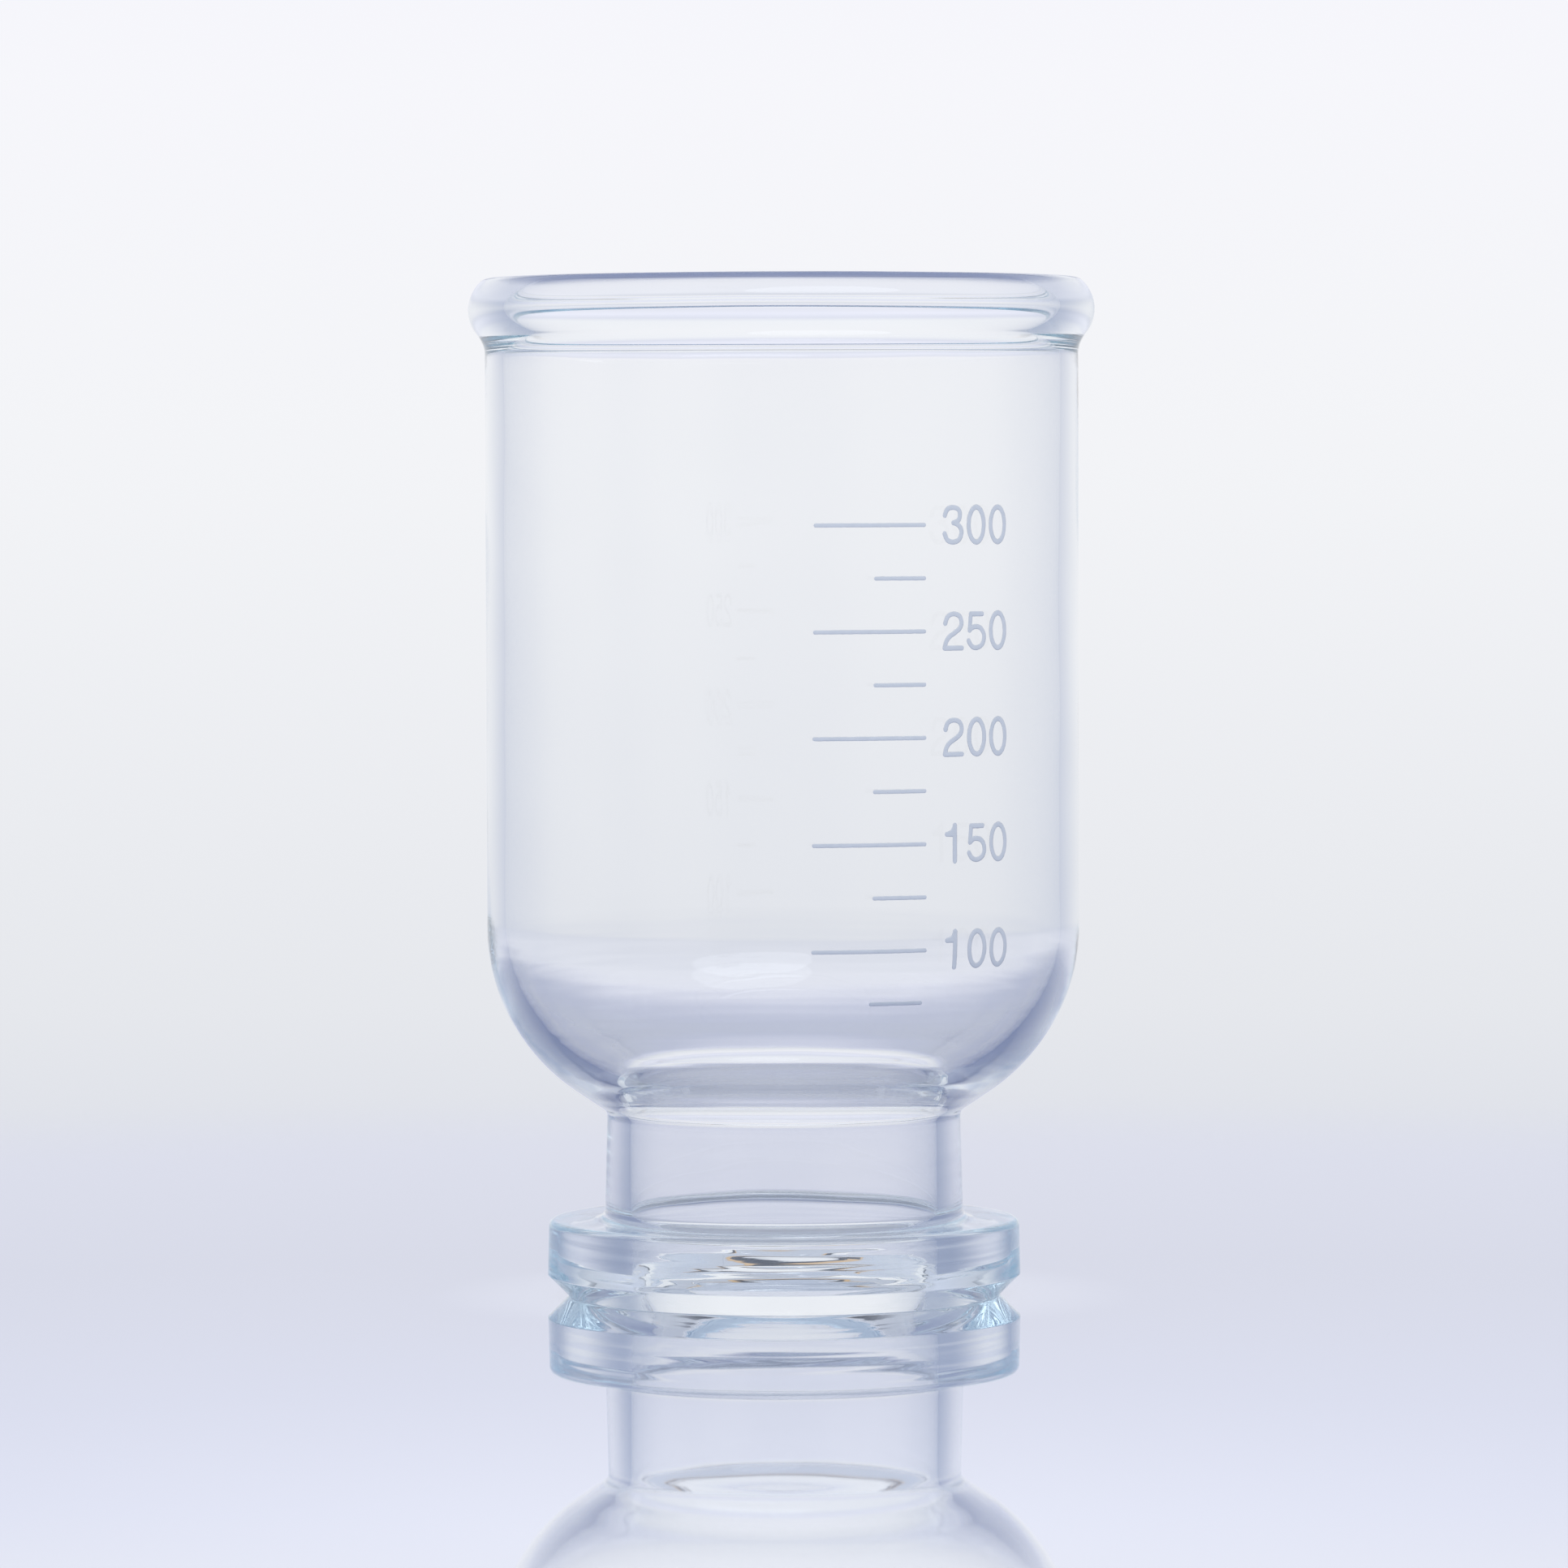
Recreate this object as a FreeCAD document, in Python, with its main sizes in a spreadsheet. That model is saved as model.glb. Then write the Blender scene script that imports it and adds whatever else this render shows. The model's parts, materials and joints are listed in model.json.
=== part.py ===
"""Graduated glass filter funnel, 300 ml, for membrane filtration.

One piece of borosilicate glass. A straight cup with a fire-polished rim bead narrows through a rounded bowl
to a short neck, and a thick flange is fused to the neck's end. The flange's flat face is ground, and seals
on the membrane. The axis is Z, the ground face lies on Z = 0 and the mouth opens upwards. Millimetres.
"""

import FreeCAD, Part
import math
import os
import Sketcher

# Every driving dimension, in millimetres, or degrees where the name says slope.
SIZES = {
    "total_height": 128.8,       # ground face to the top of the rim
    "cup_diameter": 75.0,        # outside of the straight cup, a stock tube size
    "cup_wall": 2.4,             # cup and bowl alike
    "bowl_slope": 34.0,          # the bowl's straight lower part, from the horizontal
    "bowl_run": 4.08,            # how far out from the neck that straight part goes
    "bead_proud": 2.1,           # the rim bead stands out this far from the cup's side
    "bead_radius": 4.9,          # rounding of the bead's outer side
    "crown_radius": 1.8,         # tighter rounding over the rim to the inside
    "bead_root_radius": 4.0,     # hollow where the bead runs out into the cup
    "neck_bore": 38.4,
    "neck_wall": 3.2,
    "neck_length": 13.7,         # flange to bowl
    "neck_root_radius": 1.2,     # outside weld between the bowl and the neck
    "throat_radius": 3.0,        # inside edge between the bowl and the neck
    "flange_diameter": 60.0,
    "flange_thickness": 9.7,
    "flange_chamfer": 2.7,       # ground at 45 degrees round the lower edge
    "flange_edge_radius": 0.8,   # fire-polished upper edge
    "flange_root_radius": 1.5,   # weld between the neck and the flange
    "weld_step": 0.25,           # the flange's bore is wider than the neck's by this much all round
    "weld_height": 1.2,          # the neck's bore ends this far above the flange
    "weld_length": 1.0,          # height over which the bore tapers out by the step
    "bore_arris": 0.5,           # broken edge between the ground face and the bore
}


def make_sheet(doc):
    """The spreadsheet that every sketch and feature reads."""
    sheet = doc.addObject("Spreadsheet::Sheet", "sizes")
    for row, (name, value) in enumerate(SIZES.items(), start=1):
        sheet.set(f"A{row}", name)
        sheet.set(f"B{row}", str(value))
        sheet.setAlias(f"B{row}", name)
    doc.recompute()
    return sheet


def origin_plane(body, role):
    return next(plane for plane in body.Origin.OriginFeatures if plane.Role == role)


def at_angle(centre, radius, angle):
    """The point of a circle at an angle in radians, counter-clockwise from +X."""
    return FreeCAD.Vector(centre.x + radius * math.cos(angle), centre.y + radius * math.sin(angle), 0)


def wall_geometry(size):
    """The wall's section in drawing order, close to its solved place. X is the radius, Y is the height."""
    cup_radius = size["cup_diameter"] / 2
    inner_radius = cup_radius - size["cup_wall"]
    neck_bore_radius = size["neck_bore"] / 2
    neck_radius = neck_bore_radius + size["neck_wall"]
    neck_height = size["flange_thickness"] + size["neck_length"]
    flange_radius = size["flange_diameter"] / 2
    flange_bore_radius = neck_bore_radius + size["weld_step"]
    slope = math.radians(size["bowl_slope"])

    # The bowl: a cone out from the neck, then an arc that turns into the cup's upright side.
    cone_top_radius = neck_radius + size["bowl_run"]
    cone_top_height = neck_height + size["bowl_run"] * math.tan(slope)
    turn_radius = (cup_radius - cone_top_radius) / (1 - math.sin(slope))
    turn_inner = turn_radius - size["cup_wall"]
    turn_start = slope - math.pi / 2
    turn_centre = FreeCAD.Vector(cup_radius - turn_radius, cone_top_height + turn_radius * math.cos(slope), 0)
    inner_cone_top = at_angle(turn_centre, turn_inner, turn_start)
    throat_height = inner_cone_top.y - (inner_cone_top.x - neck_bore_radius) * math.tan(slope)

    # The bead: its outer arc runs into the crown above, which meets the inside, and into the root below.
    crown_centre = FreeCAD.Vector(
        inner_radius + size["crown_radius"], size["total_height"] - size["crown_radius"], 0)
    bead_centre_radius = cup_radius + size["bead_proud"] - size["bead_radius"]
    crown_reach = size["bead_radius"] - size["crown_radius"]
    crown_angle = math.acos((crown_centre.x - bead_centre_radius) / crown_reach)
    bead_centre = FreeCAD.Vector(
        bead_centre_radius, crown_centre.y - crown_reach * math.sin(crown_angle), 0)
    root_reach = size["bead_radius"] + size["bead_root_radius"]
    root_centre_radius = cup_radius + size["bead_root_radius"]
    root_angle = -math.acos((root_centre_radius - bead_centre_radius) / root_reach)
    root_centre = at_angle(bead_centre, root_reach, root_angle)

    weld_top = size["flange_thickness"] + size["weld_height"]
    corners = {
        "face_inner": (flange_bore_radius, 0),
        "face_outer": (flange_radius, 0),
        "flange_top": (flange_radius, size["flange_thickness"]),
        "neck_foot": (neck_radius, size["flange_thickness"]),
        "neck_top": (neck_radius, neck_height),
        "cone_top": (cone_top_radius, cone_top_height),
        "cup_foot": (cup_radius, turn_centre.y),
        "cup_head": (cup_radius, root_centre.y),
        "crown_inner": (inner_radius, crown_centre.y),
        "inner_foot": (inner_radius, turn_centre.y),
        "inner_cone_top": (inner_cone_top.x, inner_cone_top.y),
        "throat": (neck_bore_radius, throat_height),
        "weld_upper": (neck_bore_radius, weld_top),
        "weld_lower": (flange_bore_radius, weld_top - size["weld_length"]),
    }
    point = {name: FreeCAD.Vector(x, y, 0) for name, (x, y) in corners.items()}

    def line(start, end):
        return Part.LineSegment(point[start], point[end])

    def arc(centre, radius, start_angle, end_angle):
        circle = Part.Circle(centre, FreeCAD.Vector(0, 0, 1), radius)
        return Part.ArcOfCircle(circle, start_angle, end_angle)

    return {
        "ground_face": line("face_inner", "face_outer"),
        "flange_side": line("face_outer", "flange_top"),
        "flange_upper": line("flange_top", "neck_foot"),
        "neck_side": line("neck_foot", "neck_top"),
        "bowl_cone": line("neck_top", "cone_top"),
        "bowl_turn": arc(turn_centre, turn_radius, turn_start, 0),
        "cup_side": line("cup_foot", "cup_head"),
        "bead_root": arc(root_centre, size["bead_root_radius"], math.pi + root_angle, math.pi),
        "bead": arc(bead_centre, size["bead_radius"], root_angle, crown_angle),
        "crown": arc(crown_centre, size["crown_radius"], crown_angle, math.pi),
        "cup_inside": line("crown_inner", "inner_foot"),
        "bowl_inside": arc(turn_centre, turn_inner, turn_start, 0),
        "cone_inside": line("inner_cone_top", "throat"),
        "neck_inside": line("throat", "weld_upper"),
        "weld_taper": line("weld_upper", "weld_lower"),
        "flange_inside": line("weld_lower", "face_inner"),
    }


def draw_wall(sketch, size):
    """Draws the wall's section and ties every size of it to the spreadsheet."""
    geometry = wall_geometry(size)
    index = {name: sketch.addGeometry(shape, False) for name, shape in geometry.items()}
    origin = -1
    start, end, centre = 1, 2, 3

    def join(first, first_end, second, second_end, kind="Coincident"):
        sketch.addConstraint(Sketcher.Constraint(kind, index[first], first_end, index[second], second_end))

    def bind(name, expression, *constraint):
        number = sketch.addConstraint(Sketcher.Constraint(*constraint))
        sketch.renameConstraint(number, name)
        sketch.setExpression(f"Constraints.{name}", expression)

    def set_radius(name, part, end_of_part, expression):
        place = sketch.getPoint(index[part], end_of_part)
        bind(name, expression, "DistanceX", origin, start, index[part], end_of_part, place.x)

    def set_height(name, part, end_of_part, expression):
        place = sketch.getPoint(index[part], end_of_part)
        bind(name, expression, "DistanceY", origin, start, index[part], end_of_part, place.y)

    def set_rounding(name, part, expression):
        bind(name, expression, "Radius", index[part], geometry[part].Radius)

    # Corners, in order round the section from the ground face's inner edge.
    join("ground_face", end, "flange_side", start)
    join("flange_side", end, "flange_upper", start)
    join("flange_upper", end, "neck_side", start)
    join("neck_side", end, "bowl_cone", start)
    join("bowl_cone", end, "bowl_turn", start, "Tangent")
    join("bowl_turn", end, "cup_side", start, "Tangent")
    join("cup_side", end, "bead_root", end, "Tangent")
    join("bead_root", start, "bead", start, "Tangent")
    join("bead", end, "crown", start, "Tangent")
    join("crown", end, "cup_inside", start, "Tangent")
    join("cup_inside", end, "bowl_inside", end, "Tangent")
    join("bowl_inside", start, "cone_inside", start, "Tangent")
    join("cone_inside", end, "neck_inside", start)
    join("neck_inside", end, "weld_taper", start)
    join("weld_taper", end, "flange_inside", start)
    join("flange_inside", end, "ground_face", start)
    join("bowl_turn", centre, "bowl_inside", centre)

    for name in ("ground_face", "flange_upper"):
        sketch.addConstraint(Sketcher.Constraint("Horizontal", index[name]))
    for name in ("flange_side", "neck_side", "cup_side", "cup_inside", "neck_inside", "flange_inside"):
        sketch.addConstraint(Sketcher.Constraint("Vertical", index[name]))
    sketch.addConstraint(Sketcher.Constraint("PointOnObject", index["ground_face"], start, origin))
    sketch.addConstraint(Sketcher.Constraint("Parallel", index["bowl_cone"], index["cone_inside"]))

    neck_radius = "sizes.neck_bore / 2 + sizes.neck_wall"
    set_radius("flange_bore_radius", "ground_face", start, "sizes.neck_bore / 2 + sizes.weld_step")
    set_radius("flange_radius", "ground_face", end, "sizes.flange_diameter / 2")
    set_height("flange_thickness", "flange_side", end, "sizes.flange_thickness")
    set_radius("neck_radius", "neck_side", start, neck_radius)
    set_height("neck_height", "neck_side", end, "sizes.flange_thickness + sizes.neck_length")
    slope = math.radians(size["bowl_slope"])
    bind("bowl_slope", "sizes.bowl_slope * 1 deg", "Angle", index["bowl_cone"], slope)
    set_radius("cone_top_radius", "bowl_cone", end, f"{neck_radius} + sizes.bowl_run")
    set_radius("cup_radius", "cup_side", start, "sizes.cup_diameter / 2")
    set_rounding("bead_root_radius", "bead_root", "sizes.bead_root_radius")
    set_rounding("bead_radius", "bead", "sizes.bead_radius")
    set_radius(
        "bead_centre_radius", "bead", centre,
        "sizes.cup_diameter / 2 + sizes.bead_proud - sizes.bead_radius")
    set_rounding("crown_radius", "crown", "sizes.crown_radius")
    set_height("crown_centre_height", "crown", centre, "sizes.total_height - sizes.crown_radius")
    set_radius("inner_radius", "cup_inside", start, "sizes.cup_diameter / 2 - sizes.cup_wall")
    set_radius("neck_bore_radius", "neck_inside", start, "sizes.neck_bore / 2")
    set_height("weld_upper_height", "neck_inside", end, "sizes.flange_thickness + sizes.weld_height")
    set_height(
        "weld_lower_height", "weld_taper", end,
        "sizes.flange_thickness + sizes.weld_height - sizes.weld_length")


def ring_edge(feature, corner):
    """The name of the feature's circular edge that a corner of the section has swept."""
    def miss(entry):
        circle = entry[1].Curve
        return math.hypot(circle.Radius - corner.x, circle.Center.z - corner.y)

    numbered = enumerate(feature.Shape.Edges, start=1)
    circles = [(number, edge) for number, edge in numbered if isinstance(edge.Curve, Part.Circle)]
    return f"Edge{min(circles, key=miss)[0]}"


def dress(doc, body, kind, name, corner, cell):
    """Adds a chamfer or a fillet on the edge that a corner of the section has swept."""
    base = body.Tip
    feature = body.newObject(kind, name)
    feature.Base = (base, [ring_edge(base, corner)])
    feature.setExpression("Size" if kind == "PartDesign::Chamfer" else "Radius", f"sizes.{cell}")
    body.Tip = feature
    doc.recompute()
    return feature


def make_funnel(doc, size):
    """Turns the wall's section round the axis, then grinds and fire-polishes its edges."""
    body = doc.addObject("PartDesign::Body", "funnel_glass")
    body.Label = "funnel_glass"
    body.Placement = FreeCAD.Placement()

    sketch = body.newObject("Sketcher::SketchObject", "wall_section")
    sketch.AttachmentSupport = [(origin_plane(body, "XZ_Plane"), "")]
    sketch.MapMode = "FlatFace"
    draw_wall(sketch, size)
    doc.recompute()

    wall = body.newObject("PartDesign::Revolution", "turned_wall")
    wall.Profile = sketch
    wall.ReferenceAxis = (sketch, ["V_Axis"])
    wall.Angle = 360
    body.Tip = wall
    doc.recompute()

    section = wall_geometry(size)
    throat = section["neck_inside"].StartPoint
    neck_top = section["neck_side"].EndPoint
    neck_foot = section["neck_side"].StartPoint
    flange_top = section["flange_side"].EndPoint
    face_outer = section["ground_face"].EndPoint
    face_inner = section["ground_face"].StartPoint
    fillet = "PartDesign::Fillet"
    chamfer = "PartDesign::Chamfer"
    dress(doc, body, fillet, "throat", throat, "throat_radius")
    dress(doc, body, fillet, "neck_root", neck_top, "neck_root_radius")
    dress(doc, body, fillet, "flange_root", neck_foot, "flange_root_radius")
    dress(doc, body, fillet, "flange_edge", flange_top, "flange_edge_radius")
    dress(doc, body, chamfer, "flange_bevel", face_outer, "flange_chamfer")
    dress(doc, body, chamfer, "bore_arris", face_inner, "bore_arris")
    return body


def check(doc, parts):
    """Stops with a message if any object failed, or a sub-part isn't one sound solid."""
    for thing in doc.Objects:
        if "Invalid" in thing.State or "Error" in thing.State:
            raise RuntimeError(f"{thing.Name} failed: {thing.State}")
    for part in parts:
        shape = part.Shape
        if shape.isNull() or not shape.isValid() or len(shape.Solids) != 1:
            raise RuntimeError(f"{part.Label} isn't one valid solid")


def main():
    doc = FreeCAD.newDocument("filter_funnel")
    sheet = make_sheet(doc)
    size = {name: float(sheet.get(name)) for name in SIZES}
    parts = [make_funnel(doc, size)]
    check(doc, parts)
    os.makedirs("parts", exist_ok=True)
    for part in parts:
        part.Shape.exportStep(f"parts/{part.Label}.step")
        box = part.Shape.BoundBox
        print(f"{part.Label}: {part.Shape.Volume / 1000:.2f} cm3, {box.XLength:.2f} x {box.YLength:.2f}"
              f" x {box.ZLength:.2f} mm, lowest {box.ZMin:.3f}")


main()
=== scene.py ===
"""Looks of the graduated glass filter funnel: blown and fused glass, fired scale, studio floor and light.

Lengths in the sections are millimetres, named for the piece they belong to, and meshes are in metres.
"""

import json
import math

import bpy
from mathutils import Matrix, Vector


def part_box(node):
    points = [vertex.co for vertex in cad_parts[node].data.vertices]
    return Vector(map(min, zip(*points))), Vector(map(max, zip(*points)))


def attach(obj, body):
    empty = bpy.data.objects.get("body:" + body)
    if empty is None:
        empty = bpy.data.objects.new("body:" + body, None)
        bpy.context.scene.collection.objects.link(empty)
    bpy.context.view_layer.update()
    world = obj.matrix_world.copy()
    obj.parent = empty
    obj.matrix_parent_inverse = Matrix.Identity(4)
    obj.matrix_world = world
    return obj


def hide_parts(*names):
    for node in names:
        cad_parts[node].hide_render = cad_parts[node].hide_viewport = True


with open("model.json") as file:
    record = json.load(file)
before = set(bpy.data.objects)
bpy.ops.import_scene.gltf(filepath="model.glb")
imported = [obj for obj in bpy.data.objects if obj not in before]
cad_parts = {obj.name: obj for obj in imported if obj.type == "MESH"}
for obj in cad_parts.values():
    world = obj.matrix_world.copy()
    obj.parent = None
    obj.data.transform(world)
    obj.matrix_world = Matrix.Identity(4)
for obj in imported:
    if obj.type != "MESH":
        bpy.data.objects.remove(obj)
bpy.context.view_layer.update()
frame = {"record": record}


# ---- Camera --------------------------------------------------------------------------------------------
# A long lens, a little above the middle of the cup, so that the sides of the glass stand almost parallel.

mm = 0.001
camera_distance = 1040.0
camera_height = 105.0
camera_across = 0.27
camera_roll = 0.17         # degrees
aim_height = 64.8
lens_length = 188.6
sensor_width = 36.0
nearest_seen = 0.05        # metres
farthest_seen = 20.0

camera_data = bpy.data.cameras.new("studio_camera")
camera_data.lens = lens_length
camera_data.sensor_width = sensor_width
camera_data.clip_start = nearest_seen
camera_data.clip_end = farthest_seen
camera = bpy.data.objects.new("studio_camera", camera_data)
camera.location = (camera_across * mm, -camera_distance * mm, camera_height * mm)
pitch = math.atan2(aim_height - camera_height, camera_distance)
camera.rotation_mode = "XYZ"
camera.rotation_euler = (math.pi / 2 + pitch, math.radians(camera_roll), 0.0)
bpy.context.scene.collection.objects.link(camera)
bpy.context.scene.camera = camera


# ---- Funnel glass --------------------------------------------------------------------------------------
# One piece of clear borosilicate: a tube cup with a fire-polished bead, a blown bowl, a neck, and a pressed
# flange fused to it. The flange's foot and bevel are ground, then polished until they are clear.

mounts = {mount["name"]: mount["dims"] for mount in frame["record"]["mounts"]}
rim_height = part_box("funnel_glass")[1].z / mm
flange_radius = mounts["flange_rim"]["r_mm"]
bore_radius = mounts["flow_bore"]["r_mm"]
mouth_radius = mounts["mouth"]["r_mm"]
bead_reach = 39.6
cup_radius = 37.5
turn_radius = 25.0
turn_height = 46.88
bowl_slope = math.radians(34.0)
neck_outside = 22.4
neck_flare = 0.3           # the neck widens by this much down to the flange
neck_root = 1.2
flange_height = 9.7
flange_bevel = 2.7
bevel_hollow = 0.02
flange_edge = 0.8
flange_root = 1.5
flange_draft = 0.15        # the pressed flange is this much smaller at its top, outside
bore_draft = 0.05          # and its bore this much wider there
arris = 0.5                # the ground break between the foot and the bore
arris_edge = 0.1
ground_edge = 0.2
bead_radius = 4.9
crown_radius = 1.8
bead_root_radius = 4.0
bowl_turn_inside = 21.8
bowl_slope_inside = math.radians(33.3)
bowl_wall = 3.2            # square to the bowl's slope, where its turn begins
shoulder_radius = 5.7      # the inside of the bowl runs into the neck over this
neck_inside = 19.4
steps_round = 216
waver_depth = 0.12         # blown glass is never quite round: this much from crest to hollow
waver_length = 22.0
tool_depth = 0.03          # and the tool that opened the bowl left marks, long ones round it
tool_length = 40.0
tool_pitch = 0.55
flange_tooled = 3.0        # they are this much deeper in the flange's bore
flat_foot = 2.0            # the waver and marks die out below this height
glass_index = 1.473
tint_density = 10.0        # how fast the colour of the glass builds up, per metre


def arc(centre, radius, start, end, steps):
    """Points along an arc, from one angle to the other in radians, both ends included."""
    angles = [start + (end - start) * step / steps for step in range(steps + 1)]
    return [(centre[0] + radius * math.cos(a), centre[1] + radius * math.sin(a)) for a in angles]


def line(start, end, steps):
    """Points along a straight run, both ends included."""
    return [(start[0] + (end[0] - start[0]) * step / steps, start[1] + (end[1] - start[1]) * step / steps)
            for step in range(steps + 1)]


def hollowed(start, end, depth, steps):
    """Points along a run that is hollowed in its middle, on the left of its way, both ends included."""
    length = math.dist(start, end)
    left = ((start[1] - end[1]) / length, (end[0] - start[0]) / length)
    sags = [4 * depth * step * (steps - step) / steps ** 2 for step in range(steps + 1)]
    return [(x + left[0] * sag, z + left[1] * sag) for (x, z), sag in zip(line(start, end, steps), sags)]


def centre_beside(point, slope, radius, gap):
    """Centre of a circle at a radius from the axis, a gap above the run that leaves a point at a slope."""
    return radius, point[1] + ((radius - point[0]) * math.sin(slope) + gap) / math.cos(slope)


def rounded(corner, before, after, radius, steps=4):
    """A small arc in a corner, tangent to the runs that come from `before` and go on to `after`."""
    ways = []
    for end in (before, after):
        reach = math.dist(corner, end)
        ways.append(((end[0] - corner[0]) / reach, (end[1] - corner[1]) / reach))
    half = math.acos(ways[0][0] * ways[1][0] + ways[0][1] * ways[1][1]) / 2
    middle = (ways[0][0] + ways[1][0], ways[0][1] + ways[1][1])
    size = radius / math.sin(half) / math.hypot(*middle)
    centre = (corner[0] + middle[0] * size, corner[1] + middle[1] * size)
    touch = radius / math.tan(half)
    angles = [math.atan2(corner[1] + way[1] * touch - centre[1], corner[0] + way[0] * touch - centre[0])
              for way in ways]
    turn = (angles[1] - angles[0] + math.pi) % (2 * math.pi) - math.pi
    return arc(centre, radius, angles[0], angles[0] + turn, steps)


def funnel_section():
    """The wall's closed section as (radius, height, inside, tooled) points, from the foot up the outside.

    inside is 1 on the surfaces that hold the liquid, and tooled is how strongly a surface shows tool marks.
    """
    upright = math.pi / 2
    side_top = flange_radius - flange_draft
    foot_out = (flange_radius - flange_bevel, 0.0)
    bevel_top = (flange_radius, flange_bevel)
    foot_in = (bore_radius + arris, 0.0)
    arris_top = (bore_radius, arris)
    bore_top = (bore_radius + bore_draft, flange_height)
    neck_foot = neck_outside + neck_flare
    turn_centre = (cup_radius - turn_radius, turn_height)
    turn_start = bowl_slope - upright
    normal = (math.cos(turn_start), math.sin(turn_start))
    cone_out = (turn_centre[0] + turn_radius * normal[0], turn_centre[1] + turn_radius * normal[1])
    root_out = neck_outside + neck_root * (1 - normal[0])
    root_touch = (root_out, cone_out[1] - (cone_out[0] - root_out) * math.tan(bowl_slope))
    root_centre = (neck_outside + neck_root, root_touch[1] + neck_root * normal[1])

    slope_in = bowl_slope_inside
    cone_in = (cone_out[0] - bowl_wall * normal[0], cone_out[1] - bowl_wall * normal[1])
    turn_in = centre_beside(cone_in, slope_in, mouth_radius - bowl_turn_inside, bowl_turn_inside)
    shoulder = centre_beside(cone_in, slope_in, neck_inside + shoulder_radius, -shoulder_radius)
    turn_inside = arc(turn_in, bowl_turn_inside, 0, slope_in - upright, 50)
    shoulder_inside = arc(shoulder, shoulder_radius, slope_in + upright, 2 * upright, 20)

    crown_centre = (mouth_radius + crown_radius, rim_height - crown_radius)
    bead_in = bead_reach - bead_radius
    crown_angle = math.acos((crown_centre[0] - bead_in) / (bead_radius - crown_radius))
    bead_centre = (bead_in, crown_centre[1] - (bead_radius - crown_radius) * math.sin(crown_angle))
    hollow_angle = math.acos((cup_radius + bead_root_radius - bead_in) / (bead_radius + bead_root_radius))
    hollow_centre = (cup_radius + bead_root_radius,
                     bead_centre[1] - (bead_radius + bead_root_radius) * math.sin(hollow_angle))

    # Each stretch of the section: its points, whether it is inside, and how strongly it is tooled.
    stretches = [
        (rounded(foot_out, foot_in, bevel_top, ground_edge), 0, 0.0),
        (hollowed(foot_out, bevel_top, bevel_hollow, 12)[1:-1], 0, 0.0),
        (rounded(bevel_top, foot_out, (side_top, flange_height), ground_edge), 0, 0.0),
        (line(bevel_top, (side_top, flange_height - flange_edge), 24)[2:-1], 0, 0.0),
        (arc((side_top - flange_edge, flange_height - flange_edge), flange_edge, 0, upright, 8), 0, 0.0),
        (line((side_top - flange_edge, flange_height), (neck_foot + flange_root, flange_height), 8)[1:-1],
         0, 0.0),
        (arc((neck_foot + flange_root, flange_height + flange_root), flange_root, 3 * upright,
             2 * upright, 10), 0, 0.0),
        (line((neck_foot, flange_height + flange_root), (neck_outside, root_centre[1]), 20)[1:-1], 0, 0.0),
        (arc(root_centre, neck_root, 2 * upright, upright + bowl_slope, 10), 0, 0.0),
        (line(root_touch, cone_out, 8)[1:-1], 0, 0.0),
        (arc(turn_centre, turn_radius, turn_start, 0, 40), 0, 0.0),
        (line((cup_radius, turn_height), (cup_radius, hollow_centre[1]), 36)[1:-1], 0, 0.0),
        (arc(hollow_centre, bead_root_radius, math.pi, math.pi - hollow_angle, 14), 0, 0.0),
        (arc(bead_centre, bead_radius, -hollow_angle, crown_angle, 30)[1:], 0, 0.0),
        (arc(crown_centre, crown_radius, crown_angle, math.pi, 20)[1:], 0.5, 0.0),
        (line((mouth_radius, crown_centre[1]), turn_inside[0], 36)[1:-1], 1, 0.0),
        (turn_inside, 1, 1.0),
        (line(turn_inside[-1], shoulder_inside[0], 8)[1:-1], 1, 1.0),
        (shoulder_inside, 1, 1.0),
        (line(shoulder_inside[-1], bore_top, 20)[1:], 1, 1.0),
        (line(bore_top, arris_top, 44)[1:-1], 1, flange_tooled),
        (rounded(arris_top, bore_top, foot_in, arris_edge, 3), 1, 0.0),
        (rounded(foot_in, arris_top, foot_out, arris_edge, 3), 1, 0.0),
        (line(foot_in, foot_out, 10)[1:-1], 0, 0.0),
    ]
    return [(*point, inside, tooled) for points, inside, tooled in stretches for point in points]


def add_node(tree, kind, links=None, **settings):
    """Adds a node with its settings, and gives each named input a value or another node's output."""
    node = tree.nodes.new(kind)
    for name, value in settings.items():
        setattr(node, name, value)
    for socket, value in (links or {}).items():
        if isinstance(value, bpy.types.NodeSocket):
            tree.links.new(value, node.inputs[socket])
        else:
            node.inputs[socket].default_value = value
    return node


def new_tree(name, inputs):
    """A Geometry Nodes tree with a geometry in and out, and the named inputs: {name: socket type}."""
    tree = bpy.data.node_groups.new(name, "GeometryNodeTree")
    tree.interface.new_socket("Geometry", in_out="INPUT", socket_type="NodeSocketGeometry")
    tree.interface.new_socket("Geometry", in_out="OUTPUT", socket_type="NodeSocketGeometry")
    for label, kind in inputs.items():
        tree.interface.new_socket(label, in_out="INPUT", socket_type=kind)
    return tree, add_node(tree, "NodeGroupInput").outputs


def grown(name, mesh, tree, values):
    """A plain object holding what the tree makes of a mesh, with the tree's inputs set to the values."""
    seed_object = bpy.data.objects.new(name + "_seed", mesh)
    bpy.context.scene.collection.objects.link(seed_object)
    modifier = seed_object.modifiers.new("grow", "NODES")
    modifier.node_group = tree
    for item in tree.interface.items_tree:
        if item.in_out == "INPUT" and item.name in values:
            modifier[item.identifier] = values[item.name]
    evaluated = seed_object.evaluated_get(bpy.context.evaluated_depsgraph_get())
    plain = bpy.data.meshes.new_from_object(evaluated)
    plain.name = name
    seed_object.modifiers.remove(modifier)
    bpy.data.objects.remove(seed_object)
    made = bpy.data.objects.new(name, plain)
    bpy.context.scene.collection.objects.link(made)
    return made


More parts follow.
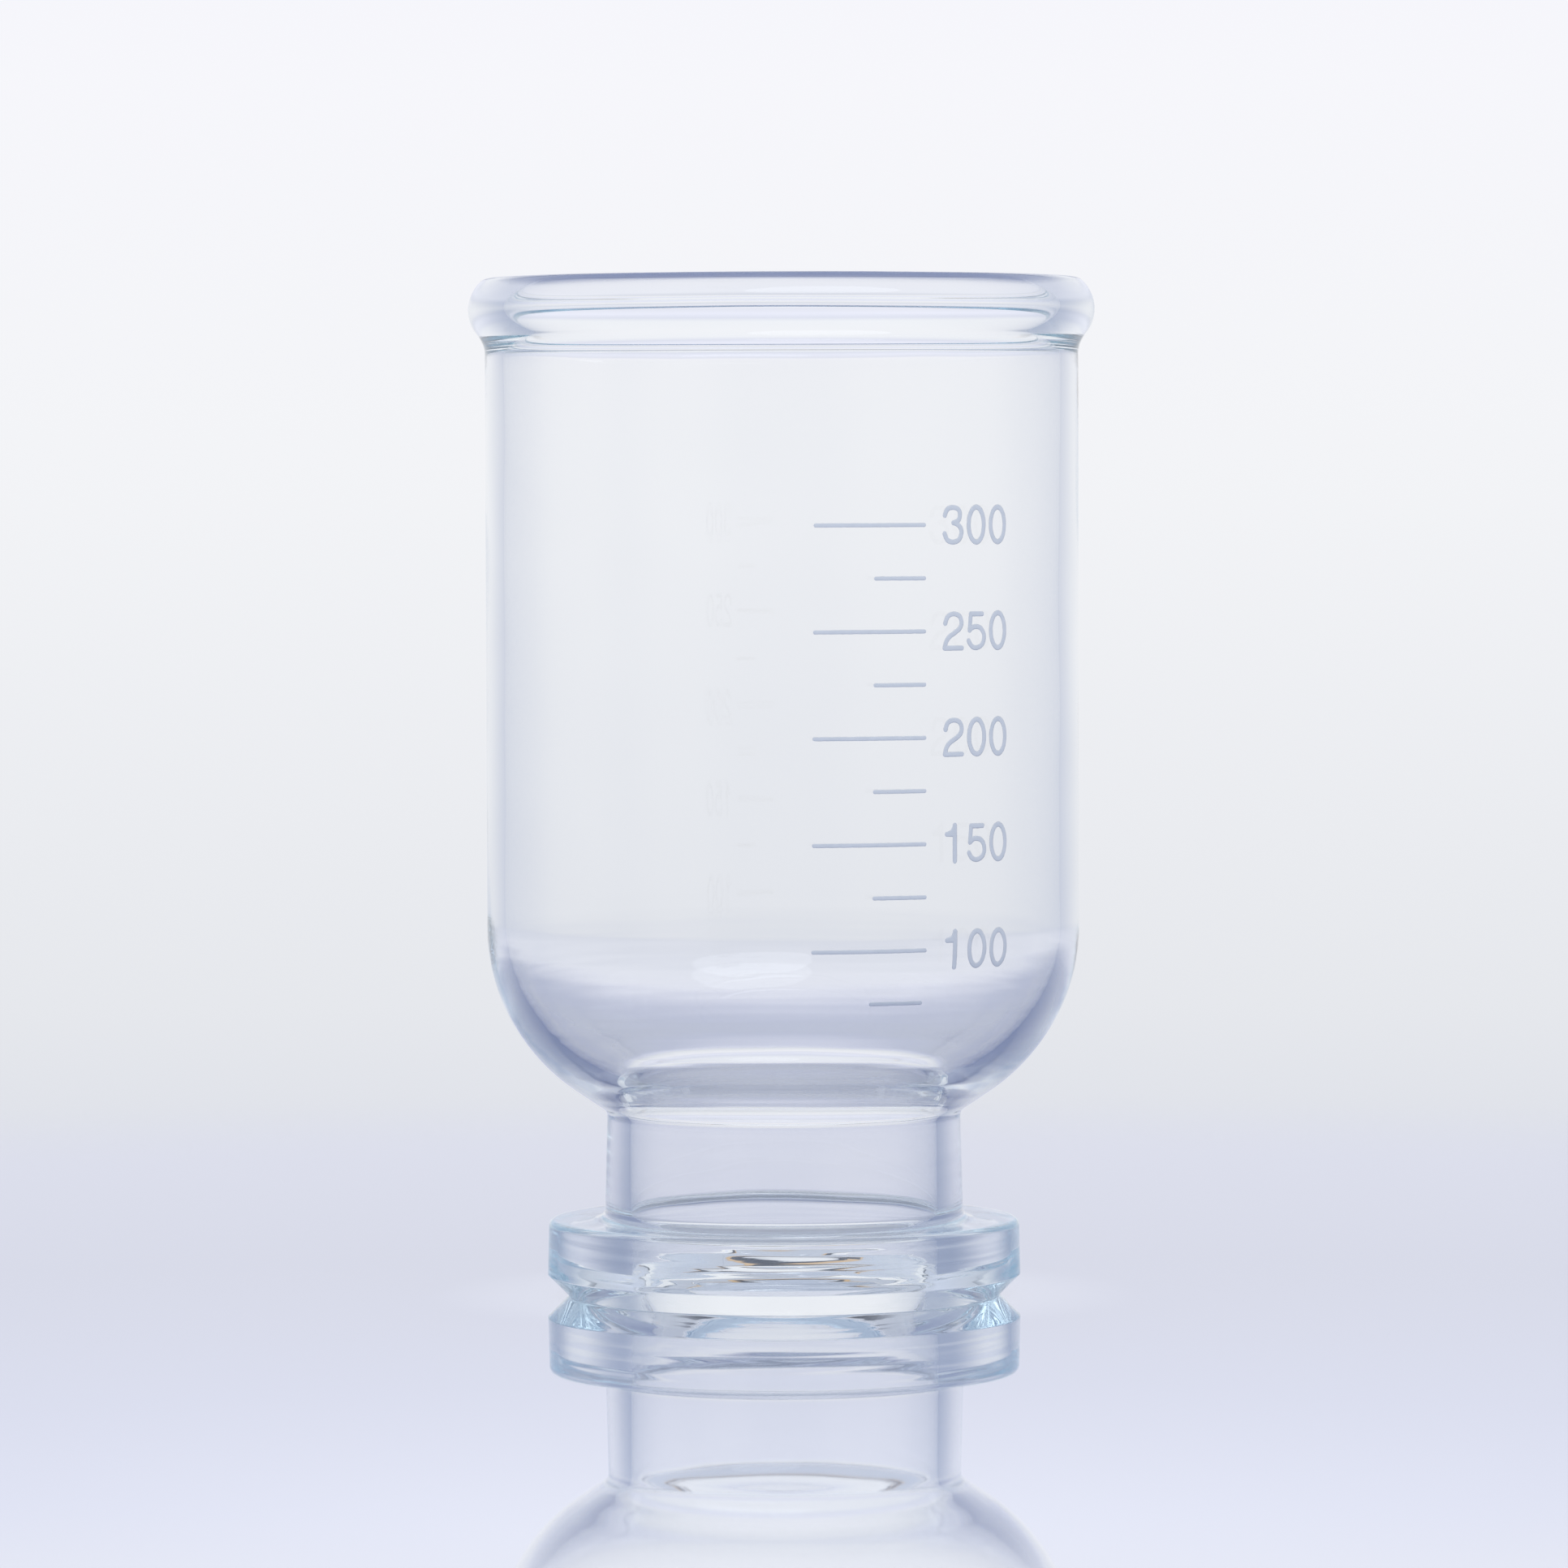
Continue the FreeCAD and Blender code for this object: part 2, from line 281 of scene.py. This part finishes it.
def linear(colour):
    """Linear RGBA of an sRGB hex colour."""
    parts = [int(colour[start:start + 2], 16) / 255 for start in (1, 3, 5)]
    return tuple(p / 12.92 if p <= 0.04045 else ((p + 0.055) / 1.055) ** 2.4 for p in parts) + (1.0,)


def lathe_tree():
    """Turns a section that stands in the XZ plane round the Z axis, and works the surface by hand."""
    tree, given = new_tree("lathe", {
        "Ring Radius": "NodeSocketFloat", "Steps Round": "NodeSocketInt", "Waver Depth": "NodeSocketFloat",
        "Waver Length": "NodeSocketFloat", "Tool Depth": "NodeSocketFloat", "Tool Length": "NodeSocketFloat",
        "Tool Pitch": "NodeSocketFloat", "Flat Foot": "NodeSocketFloat", "Glass": "NodeSocketMaterial"})
    ring = add_node(tree, "GeometryNodeCurvePrimitiveCircle", {
        "Resolution": given["Steps Round"], "Radius": given["Ring Radius"]})
    upright_ring = add_node(tree, "GeometryNodeSetCurveNormal", {"Curve": ring.outputs["Curve"]}, mode="Z_UP")
    inward = add_node(tree, "ShaderNodeMath", {0: given["Ring Radius"], 1: -1.0}, operation="MULTIPLY")
    shift = add_node(tree, "ShaderNodeCombineXYZ", {"X": inward.outputs[0]})
    flat = add_node(tree, "GeometryNodeTransform", {
        "Geometry": given["Geometry"], "Translation": shift.outputs[0], "Rotation": (math.pi / 2, 0.0, 0.0)})
    profile = add_node(tree, "GeometryNodeMeshToCurve", {"Mesh": flat.outputs["Geometry"]})
    swept = add_node(tree, "GeometryNodeCurveToMesh", {
        "Curve": upright_ring.outputs["Curve"], "Profile Curve": profile.outputs["Curve"]})
    turned = add_node(tree, "GeometryNodeFlipFaces", {"Mesh": swept.outputs["Mesh"]})

    place = add_node(tree, "GeometryNodeInputPosition").outputs[0]
    normal = add_node(tree, "GeometryNodeInputNormal").outputs["Normal"]
    inside = add_node(tree, "GeometryNodeInputNamedAttribute", {"Name": "inside"}, data_type="FLOAT")
    tooled = add_node(tree, "GeometryNodeInputNamedAttribute", {"Name": "tooled"}, data_type="FLOAT")
    waver_scale = add_node(tree, "ShaderNodeMath", {0: 1.0, 1: given["Waver Length"]}, operation="DIVIDE")
    # The inside takes its waver from elsewhere in the noise, so the two sides of the wall don't run alike.
    elsewhere = 7.0
    wall_side = add_node(tree, "ShaderNodeMath", {0: inside.outputs["Attribute"], 1: elsewhere},
                         operation="MULTIPLY")
    waver = add_node(tree, "ShaderNodeTexNoise", {
        "Vector": place, "W": wall_side.outputs[0], "Scale": waver_scale.outputs[0], "Detail": 1.0},
        noise_dimensions="4D")
    along = add_node(tree, "ShaderNodeMath", {0: 1.0, 1: given["Tool Length"]}, operation="DIVIDE")
    across = add_node(tree, "ShaderNodeMath", {0: 1.0, 1: given["Tool Pitch"]}, operation="DIVIDE")
    stretch = add_node(tree, "ShaderNodeCombineXYZ", {
        "X": along.outputs[0], "Y": along.outputs[0], "Z": across.outputs[0]})
    streaks_at = add_node(tree, "ShaderNodeVectorMath", {0: place, 1: stretch.outputs[0]},
                          operation="MULTIPLY")
    streaks = add_node(tree, "ShaderNodeTexNoise", {
        "Vector": streaks_at.outputs[0], "W": wall_side.outputs[0], "Scale": 1.0, "Detail": 2.0},
        noise_dimensions="4D")
    depths = []
    for noise, most in ((waver, given["Waver Depth"]), (streaks, given["Tool Depth"])):
        centred = add_node(tree, "ShaderNodeMath", {0: noise.outputs["Fac"], 1: 0.5}, operation="SUBTRACT")
        depths.append(add_node(tree, "ShaderNodeMath", {0: centred.outputs[0], 1: most},
                               operation="MULTIPLY"))
    tool_marks = add_node(tree, "ShaderNodeMath", {
        0: depths[1].outputs[0], 1: tooled.outputs["Attribute"]}, operation="MULTIPLY")
    worked_depth = add_node(tree, "ShaderNodeMath", {0: depths[0].outputs[0], 1: tool_marks.outputs[0]})
    height = add_node(tree, "ShaderNodeSeparateXYZ", {0: place}).outputs["Z"]
    above_foot = add_node(tree, "ShaderNodeMapRange", {"Value": height, "From Max": given["Flat Foot"]})
    depth = add_node(tree, "ShaderNodeMath", {0: worked_depth.outputs[0], 1: above_foot.outputs[0]},
                     operation="MULTIPLY")
    offset = add_node(tree, "ShaderNodeVectorMath", {0: normal, "Scale": depth.outputs[0]}, operation="SCALE")
    worked = add_node(tree, "GeometryNodeSetPosition", {
        "Geometry": turned.outputs["Mesh"], "Offset": offset.outputs["Vector"]})
    smooth = add_node(tree, "GeometryNodeSetShadeSmooth", {"Geometry": worked.outputs["Geometry"]})
    real = add_node(tree, "GeometryNodeRealizeInstances", {"Geometry": smooth.outputs["Geometry"]})
    dressed = add_node(tree, "GeometryNodeSetMaterial", {
        "Geometry": real.outputs["Geometry"], "Material": given["Glass"]})
    add_node(tree, "NodeGroupOutput", {"Geometry": dressed.outputs["Geometry"]})
    return tree


def borosilicate():
    """Clear borosilicate glass, blown and fire-polished: index 1.473, and faintly blue through its length."""
    material = bpy.data.materials.new("clear_borosilicate_glass")
    material.use_nodes = True
    tree = material.node_tree
    tree.nodes.clear()
    surface = add_node(tree, "ShaderNodeBsdfPrincipled", {
        "Base Color": linear("#FFFFFF"), "Roughness": 0.0, "IOR": glass_index, "Transmission Weight": 1.0})
    depth = add_node(tree, "ShaderNodeVolumeAbsorption", {
        "Color": linear("#E9F7FB"), "Density": tint_density})
    add_node(tree, "ShaderNodeOutputMaterial", {
        "Surface": surface.outputs["BSDF"], "Volume": depth.outputs["Volume"]})
    return material


section = funnel_section()
wire = bpy.data.meshes.new("funnel_section")
wire.from_pydata([(radius * mm, 0.0, height * mm) for radius, height, inside, tooled in section],
                 [(index, (index + 1) % len(section)) for index in range(len(section))], [])
for column, label in ((2, "inside"), (3, "tooled")):
    attribute = wire.attributes.new(label, "FLOAT", "POINT")
    attribute.data.foreach_set("value", [point[column] for point in section])

funnel = grown("blown_funnel", wire, lathe_tree(), {
    "Ring Radius": flange_radius * mm, "Steps Round": steps_round, "Waver Depth": waver_depth * mm,
    "Waver Length": waver_length * mm, "Tool Depth": tool_depth * mm, "Tool Length": tool_length * mm,
    "Tool Pitch": tool_pitch * mm, "Flat Foot": flat_foot * mm, "Glass": borosilicate()})
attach(funnel, "root")
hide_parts("funnel_glass")


# ---- Volume scale --------------------------------------------------------------------------------------
# Blue-grey enamel, screen-printed from a transfer and fired on the outside of the cup: a line every 25 ml,
# long ones with a numeral every 50 ml. It is a few hundredths of a millimetre proud and follows the glass.

scale_pitch = 13.05
top_line_height = 97.8
line_width = 0.52
line_end = 18.36            # along the cup from its front, where every line stops
long_line = 14.5
short_line = 6.9
lean = 0.008                # the lines' far ends drift outwards down the cup
numeral_width = 0.64
numeral_pitch = 3.63
numeral_middle = 25.93
enamel_depth = 0.03
edge_waver = 0.08           # the screen's mesh leaves the print's edges uneven by this much
edge_waver_scale = 1300.0   # per metre
cloud_scale = 900.0         # per metre
pen_step = 0.08
pen_sides = 10
oval_across = 1.23
oval_up = 2.14

# Pen strokes of each numeral about its middle, as the pen's centre goes.
oval = [(oval_across * math.cos(turn * math.pi / 6), oval_up * math.sin(turn * math.pi / 6))
        for turn in range(12)]
numeral_strokes = {
    "0": [oval + oval[:1]],
    "1": [[(0.18, 2.2), (0.18, -2.2)], [(0.16, 2.1), (-0.1, 1.55), (-0.55, 1.25), (-1.0, 1.15)],
          [(-1.0, 1.12), (0.18, 1.12)]],
    "2": [[(-1.17, 0.95), (-0.85, 1.75), (0.05, 2.1), (0.95, 1.8), (1.25, 1.0), (0.95, 0.3), (0.2, -0.22),
           (-0.6, -0.72), (-1.08, -1.35), (-1.27, -2.08)], [(-1.27, -2.1), (1.27, -2.1)]],
    "3": [[(-1.2, 1.15), (-0.87, 1.88), (0.0, 2.13), (0.8, 1.86), (1.04, 1.2), (0.76, 0.5), (0.05, 0.24)],
          [(0.05, 0.24), (0.68, 0.02), (1.18, -0.5), (1.25, -1.12), (0.85, -1.86), (0.0, -2.13),
           (-0.86, -1.86), (-1.24, -1.1)]],
    "5": [[(0.92, 2.06), (-0.92, 2.06)], [(-0.92, 2.06), (-1.1, 0.06)],
          [(-1.1, 0.06), (-0.62, 0.4), (0.05, 0.5), (0.75, 0.24), (1.2, -0.45), (1.17, -1.2), (0.75, -1.82),
           (-0.1, -2.1), (-0.88, -1.82), (-1.26, -1.22)]],
}


def pen_strokes(name, strokes, width):
    """A wire mesh of strokes that lie flat in XZ, each run on by half the pen's width at its open ends."""
    points, edges = [], []
    for stroke in strokes:
        closed = stroke[0] == stroke[-1]
        run = list(stroke[:-1]) if closed else list(stroke)
        if not closed:
            for end, before in ((0, 1), (-1, -2)):
                reach = math.dist(run[end], run[before])
                run[end] = tuple(a + (a - b) / reach * width / 2 for a, b in zip(run[end], run[before]))
        first = len(points)
        points += [(across * mm, 0.0, height * mm) for across, height in run]
        edges += [(first + step, first + step + 1) for step in range(len(run) - 1)]
        if closed:
            edges.append((len(points) - 1, first))
    mesh = bpy.data.meshes.new(name)
    mesh.from_pydata(points, edges, [])
    return mesh


def printing_tree():
    """Thickens flat strokes into an enamel layer with round ends, and lays it on the glass round Z."""
    tree, given = new_tree("printing", {
        "Pen Width": "NodeSocketFloat", "Enamel Depth": "NodeSocketFloat", "Step Length": "NodeSocketFloat",
        "Edge Waver": "NodeSocketFloat", "Cup Radius": "NodeSocketFloat", "Cup": "NodeSocketObject",
        "Enamel": "NodeSocketMaterial"})

    def maths(operation, first, second=0.0, **settings):
        step = add_node(tree, "ShaderNodeMath", {0: first, 1: second}, operation=operation, **settings)
        return step.outputs[0]

    lines = add_node(tree, "GeometryNodeMeshToCurve", {"Mesh": given["Geometry"]})
    supple = add_node(tree, "GeometryNodeCurveSplineType", {"Curve": lines.outputs[0]},
                      spline_type="CATMULL_ROM")
    fine = add_node(tree, "GeometryNodeResampleCurve", {
        "Curve": supple.outputs[0], "Length": given["Step Length"]}, mode="LENGTH")
    half_width = maths("MULTIPLY", given["Pen Width"], 0.5)
    along = add_node(tree, "GeometryNodeSplineParameter").outputs["Length"]
    whole = add_node(tree, "GeometryNodeSplineLength").outputs["Length"]
    from_end = maths("MINIMUM", along, maths("SUBTRACT", whole, along))
    least_share = 0.03     # of the half width, so that a stroke ends in a small cap and not in a point
    share = maths("MAXIMUM", maths("DIVIDE", from_end, half_width, use_clamp=True), least_share)
    rounding = maths("SQRT", maths("MULTIPLY", share, maths("SUBTRACT", 2.0, share)))
    closed = add_node(tree, "GeometryNodeInputSplineCyclic").outputs[0]
    fullness = add_node(tree, "GeometryNodeSwitch", {
        "Switch": closed, "False": rounding, "True": 1.0}, input_type="FLOAT")
    pen = add_node(tree, "GeometryNodeCurvePrimitiveCircle", {
        "Resolution": pen_sides, "Radius": half_width})
    drawn = add_node(tree, "GeometryNodeCurveToMesh", {
        "Curve": fine.outputs[0], "Profile Curve": pen.outputs[0], "Scale": fullness.outputs[0],
        "Fill Caps": True})

    place = add_node(tree, "GeometryNodeInputPosition").outputs[0]
    rough = add_node(tree, "ShaderNodeTexNoise", {
        "Vector": place, "Scale": edge_waver_scale, "Detail": 1.0})
    off = add_node(tree, "ShaderNodeVectorMath", {0: rough.outputs["Color"], 1: (0.5, 0.5, 0.5)},
                   operation="SUBTRACT")
    nudge = add_node(tree, "ShaderNodeVectorMath", {0: off.outputs[0], "Scale": given["Edge Waver"]},
                     operation="SCALE")
    uneven = add_node(tree, "GeometryNodeSetPosition", {
        "Geometry": drawn.outputs[0], "Offset": nudge.outputs[0]})
    flat = add_node(tree, "ShaderNodeSeparateXYZ", {0: place}).outputs
    angle = maths("DIVIDE", flat["X"], given["Cup Radius"])
    outward = add_node(tree, "ShaderNodeCombineXYZ", {
        "X": maths("SINE", angle), "Y": maths("MULTIPLY", maths("COSINE", angle), -1.0)}).outputs[0]
    clear_of_cup = maths("MULTIPLY", given["Cup Radius"], 1.5)
    outside = add_node(tree, "ShaderNodeVectorMath", {0: outward, "Scale": clear_of_cup}, operation="SCALE")
    height = add_node(tree, "ShaderNodeCombineXYZ", {"Z": flat["Z"]})
    start = add_node(tree, "ShaderNodeVectorMath", {0: outside.outputs[0], 1: height.outputs[0]})
    inward = add_node(tree, "ShaderNodeVectorMath", {0: outward, "Scale": -1.0}, operation="SCALE")
    cup = add_node(tree, "GeometryNodeObjectInfo", {"Object": given["Cup"]})
    landed = add_node(tree, "GeometryNodeRaycast", {
        "Target Geometry": cup.outputs["Geometry"], "Source Position": start.outputs[0],
        "Ray Direction": inward.outputs[0], "Ray Length": clear_of_cup})
    squash = maths("DIVIDE", given["Enamel Depth"], half_width)
    proud = maths("MULTIPLY", flat["Y"], maths("MULTIPLY", squash, -1.0))
    lift = add_node(tree, "ShaderNodeVectorMath", {0: outward, "Scale": proud}, operation="SCALE")
    laid = add_node(tree, "ShaderNodeVectorMath", {0: landed.outputs["Hit Position"], 1: lift.outputs[0]})
    wrapped = add_node(tree, "GeometryNodeSetPosition", {
        "Geometry": uneven.outputs[0], "Position": laid.outputs[0]})
    smooth = add_node(tree, "GeometryNodeSetShadeSmooth", {"Geometry": wrapped.outputs[0]})
    real = add_node(tree, "GeometryNodeRealizeInstances", {"Geometry": smooth.outputs[0]})
    coloured = add_node(tree, "GeometryNodeSetMaterial", {
        "Geometry": real.outputs[0], "Material": given["Enamel"]})
    add_node(tree, "NodeGroupOutput", {"Geometry": coloured.outputs[0]})
    return tree


def fired_enamel():
    """Glass enamel fired on: satin, opaque, and a little cloudy from one patch to the next."""
    material = bpy.data.materials.new("fired_glass_enamel")
    material.use_nodes = True
    tree = material.node_tree
    tree.nodes.clear()
    at = add_node(tree, "ShaderNodeTexCoord").outputs["Object"]
    cloud = add_node(tree, "ShaderNodeTexNoise", {"Vector": at, "Scale": cloud_scale, "Detail": 2.0})
    colour = add_node(tree, "ShaderNodeMix", {
        0: cloud.outputs["Fac"], 6: linear("#CBD3DC"), 7: linear("#D8DEE6")}, data_type="RGBA")
    surface = add_node(tree, "ShaderNodeBsdfPrincipled", {
        "Base Color": colour.outputs[2], "Roughness": 0.4, "IOR": 1.5})
    add_node(tree, "ShaderNodeOutputMaterial", {"Surface": surface.outputs["BSDF"]})
    return material


printing = printing_tree()
enamel = fired_enamel()
long_strokes, short_strokes, numerals = [], [], []
for row, volume in enumerate(("300", "250", "200", "150", "100")):
    height = top_line_height - row * scale_pitch
    for strokes, length, level in ((long_strokes, long_line, height),
                                   (short_strokes, short_line, height - scale_pitch / 2)):
        start = line_end - length - lean * (top_line_height - level)
        strokes.append([(start + line_width / 2, level), (line_end - line_width / 2, level)])
    for column, numeral in enumerate(volume):
        middle = numeral_middle + (column - 1) * numeral_pitch
        numerals += [[(middle + across, height + up) for across, up in stroke]
                     for stroke in numeral_strokes[numeral]]
for name, strokes, width in (("scale_long_lines", long_strokes, line_width),
                             ("scale_short_lines", short_strokes, line_width),
                             ("scale_numerals", numerals, numeral_width)):
    piece = grown(name, pen_strokes(name, strokes, width), printing, {
        "Pen Width": width * mm, "Enamel Depth": enamel_depth * mm, "Step Length": pen_step * mm,
        "Edge Waver": edge_waver * mm, "Cup Radius": cup_radius * mm, "Cup": funnel, "Enamel": enamel})
    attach(piece, "root")


# ---- Studio floor --------------------------------------------------------------------------------------
# A disc of glossy pale acrylic that fades into the backdrop, so that there is no edge behind the glass.

floor_radius = 340.0
floor_fade = 210.0
floor_rings = 60
floor_turns = 96
floor_gap = 0.02            # the air left under the ground foot
painted_shade_centre = 240.0         # painted shade: the sheet's colour deepens away from a point this far in front of the foot, for the glass's shadow
painted_light_within = 0.9           # painted light: round the foot it is paler, for the light the glass gathers onto it, out to these parts of the flange's radius
painted_light_gone_at = 1.5
acrylic_index = 1.49
acrylic_roughness = 0.02

floor_points = [(0.0, 0.0, -floor_gap * mm)]
for ring in range(1, floor_rings + 1):
    radius = floor_radius * ring / floor_rings
    floor_points += [(radius * mm * math.cos(a), radius * mm * math.sin(a), -floor_gap * mm)
                     for a in (2 * math.pi * turn / floor_turns for turn in range(floor_turns))]
floor_faces = [(0, 1 + turn, 1 + (turn + 1) % floor_turns) for turn in range(floor_turns)]
for ring in range(floor_rings - 1):
    for turn in range(floor_turns):
        after = (turn + 1) % floor_turns
        inner = 1 + ring * floor_turns
        outer = inner + floor_turns
        floor_faces.append((inner + turn, outer + turn, outer + after, inner + after))
floor_mesh = bpy.data.meshes.new("studio_floor")
floor_mesh.from_pydata(floor_points, [], floor_faces)
floor_mesh.shade_smooth()
floor = bpy.data.objects.new("studio_floor", floor_mesh)
bpy.context.scene.collection.objects.link(floor)


def colour_by(tree, value, stops):
    """A colour that follows a value: {value: sRGB hex}, blended from each stop to the next."""
    bottom, top = min(stops), max(stops)
    place = add_node(tree, "ShaderNodeMapRange", {"Value": value, "From Min": bottom, "From Max": top})
    ramp = add_node(tree, "ShaderNodeValToRGB", {0: place.outputs[0]})
    elements = ramp.color_ramp.elements
    while len(elements) < len(stops):
        elements.new(1.0)
    for element, (at, colour) in zip(elements, sorted(stops.items())):
        element.position = (at - bottom) / (top - bottom)
        element.color = linear(colour)
    return ramp.outputs[0]


# Cast acrylic with a polished face: a sharp mirror image, fainter from above, over a lavender blue body
# colour.
# Painted light is mixed into that body colour: painted shade behind the foot, and a painted pool of light
# round it.
acrylic = bpy.data.materials.new("glossy_acrylic_sheet")
acrylic.use_nodes = True
tree = acrylic.node_tree
tree.nodes.clear()
at = add_node(tree, "ShaderNodeTexCoord").outputs["Object"]
reach = add_node(tree, "ShaderNodeVectorMath", {0: at}, operation="LENGTH")
# Painted shadow: the body colour darkens with the distance from a point in front of the foot, most on a ring
# just behind it.
from_painted_shade_centre = add_node(tree, "ShaderNodeVectorMath", {0: at, 1: (0.0, -painted_shade_centre * mm, 0.0)},
                      operation="DISTANCE")
painted_shade_ramp = colour_by(tree, from_painted_shade_centre.outputs["Value"], {
    0.0: "#E6ECFA", 140 * mm: "#A5B0D2", 290 * mm: "#6877A2", 540 * mm: "#979FBE"})
# Painted light: round the foot the body colour turns a paler blue, for the light that the glass gathers onto
# the sheet.
past_painted_light = add_node(tree, "ShaderNodeMapRange", {
    "Value": reach.outputs["Value"], "From Min": painted_light_within * flange_radius * mm,
    "From Max": painted_light_gone_at * flange_radius * mm})
shade_and_light_painted = add_node(tree, "ShaderNodeMix", {0: past_painted_light.outputs[0], 6: linear("#DDE6F7"), 7: painted_shade_ramp},
                  data_type="RGBA")
sheet = add_node(tree, "ShaderNodeBsdfPrincipled", {
    "Base Color": shade_and_light_painted.outputs[2], "Roughness": acrylic_roughness, "IOR": acrylic_index,
    "Coat Weight": 1.0, "Coat Roughness": acrylic_roughness, "Coat IOR": acrylic_index})
clear = add_node(tree, "ShaderNodeBsdfTransparent")
fade = add_node(tree, "ShaderNodeMapRange", {
    "Value": reach.outputs["Value"], "From Min": floor_fade * mm, "From Max": floor_radius * mm},
    interpolation_type="SMOOTHSTEP")
blend = add_node(tree, "ShaderNodeMixShader", {0: fade.outputs[0], 1: sheet.outputs[0], 2: clear.outputs[0]})
add_node(tree, "ShaderNodeOutputMaterial", {"Surface": blend.outputs[0]})
floor.data.materials.append(acrylic)


# ---- Studio light --------------------------------------------------------------------------------------
# A tall white panel stands behind the table, with fainter ones at the left and the front right, in a
# lavender-grey room. A narrow black flag on a wooden batten hangs before the tall panel and draws the dark
# strip in the flange, and a soft box in front lights the bowl.

plain_light = "#F4F5FA"
soft_box_way = (0.21, -0.68, 0.703)
soft_box_distance = 1.2     # metres, as its sizes are
soft_box_across = 1.05
soft_box_up = 0.4
soft_box_watts = 1.5
glass_bounces = 96          # light that runs along inside the wall meets its surfaces many times

world = bpy.data.worlds.new("studio_tent")
world.use_nodes = True
bpy.context.scene.world = world
tree = world.node_tree
tree.nodes.clear()
way = add_node(tree, "ShaderNodeTexCoord").outputs["Generated"]
parts = add_node(tree, "ShaderNodeSeparateXYZ", {0: way}).outputs
level_way = add_node(tree, "ShaderNodeCombineXYZ", {"X": parts["X"], "Y": parts["Y"]})
heading = add_node(tree, "ShaderNodeVectorMath", {0: level_way.outputs[0]}, operation="NORMALIZE").outputs[0]
slope = add_node(tree, "ShaderNodeMath", {0: parts["Z"]}, operation="ARCSINE")
rise = add_node(tree, "ShaderNodeMath", {0: slope.outputs[0]}, operation="DEGREES").outputs[0]


def sector(degrees, core, edge, share=1.0):
    """How far a way lies in the sector round a heading, in degrees from +Y towards +X, with a soft edge."""
    angle = math.radians(degrees)
    facing = add_node(tree, "ShaderNodeVectorMath", {0: heading, 1: (math.sin(angle), math.cos(angle), 0.0)},
                      operation="DOT_PRODUCT")
    off = add_node(tree, "ShaderNodeMath", {0: facing.outputs["Value"]}, operation="ARCCOSINE")
    return add_node(tree, "ShaderNodeMapRange", {
        "Value": off.outputs[0], "From Min": math.radians(edge), "From Max": math.radians(core),
        "To Max": share}, interpolation_type="SMOOTHSTEP").outputs[0]


def sheet_of(light, bottom, top, soft, round_way, colour):
    """Puts a sheet of one colour before the light, from a height to another in degrees, within a sector."""
    off = add_node(tree, "ShaderNodeMath", {0: rise, 1: (bottom + top) / 2}, operation="SUBTRACT")
    away = add_node(tree, "ShaderNodeMath", {0: off.outputs[0]}, operation="ABSOLUTE")
    level = add_node(tree, "ShaderNodeMapRange", {
        "Value": away.outputs[0], "From Min": (top - bottom) / 2 + soft, "From Max": (top - bottom) / 2},
        interpolation_type="SMOOTHSTEP")
    share = add_node(tree, "ShaderNodeMath", {0: level.outputs[0], 1: round_way}, operation="MULTIPLY")
    return add_node(tree, "ShaderNodeMix", {0: share.outputs[0], 6: light, 7: linear(colour)},
                    data_type="RGBA").outputs[2]


panels = sector(0.0, core=4.0, edge=56.0)
for degrees in (-90.0, 135.0):
    panels = add_node(tree, "ShaderNodeMath", {
        0: panels, 1: sector(degrees, core=6.0, edge=32.0, share=0.6)}, operation="MAXIMUM").outputs[0]

# The colours of the panels and of the room go by the height of a way, in degrees from level.
panel_colour = colour_by(tree, rise, {
    -60: "#C4CADE", -16: "#EEEFF6", -8: "#EEF0F8", -5: "#DBDEE8", -4: "#E5E7EC", 0: "#F3F4F7", 3.2: "#F7F7FC",
    4.5: "#E8EAF5", 8: "#EFF1FE", 11: "#E3E6F3", 14: "#F4F6FA", 25.5: "#F8F9FC", 27: "#C3C8D3", 47: "#D2D9EC",
    90: "#C5CEE2"})
room_colour = colour_by(tree, rise, {
    -60: "#C4CADE", -8: "#D6DAE9", -4: "#B9C1D6", 0: "#C4CADA", 3: "#A6B0C8", 25.5: "#B0BACE", 33: "#CED4E0",
    90: "#C5CEE2"})
tent = add_node(tree, "ShaderNodeMix", {0: panels, 6: room_colour, 7: panel_colour},
                data_type="RGBA").outputs[2]
flagged = sheet_of(tent, bottom=27.1, top=29.4, soft=0.5, round_way=sector(0.0, core=10.0, edge=26.0),
                   colour="#23262C")
battened = sheet_of(flagged, bottom=29.0, top=29.5, soft=0.4, round_way=sector(0.0, core=5.0, edge=10.0),
                    colour="#DDB985")
# The sheet and the enamel scatter a plain light, so the panels and the flag don't colour them.
depth = add_node(tree, "ShaderNodeLightPath").outputs["Diffuse Depth"]
scattered = add_node(tree, "ShaderNodeMath", {0: depth, 1: 1.0}, operation="MINIMUM")
shown = add_node(tree, "ShaderNodeMix", {0: scattered.outputs[0], 6: battened, 7: linear(plain_light)},
                 data_type="RGBA")
shine = add_node(tree, "ShaderNodeBackground", {"Color": shown.outputs[2], "Strength": 1.0})
add_node(tree, "ShaderNodeOutputWorld", {"Surface": shine.outputs[0]})

soft_box_data = bpy.data.lights.new("soft_box", "AREA")
soft_box_data.shape = "ELLIPSE"
soft_box_data.size = soft_box_across
soft_box_data.size_y = soft_box_up
soft_box_data.energy = soft_box_watts
soft_box_data.color = linear("#F2F8FC")[:3]
soft_box = bpy.data.objects.new("soft_box", soft_box_data)
soft_box.location = tuple(soft_box_distance * part for part in soft_box_way)
soft_box.rotation_euler = Vector(soft_box_way).to_track_quat("Z", "Y").to_euler()
bpy.context.scene.collection.objects.link(soft_box)

scene = bpy.context.scene
scene.view_settings.view_transform = "Standard"
scene.cycles.max_bounces = glass_bounces
scene.cycles.transmission_bounces = glass_bounces
scene.cycles.glossy_bounces = glass_bounces
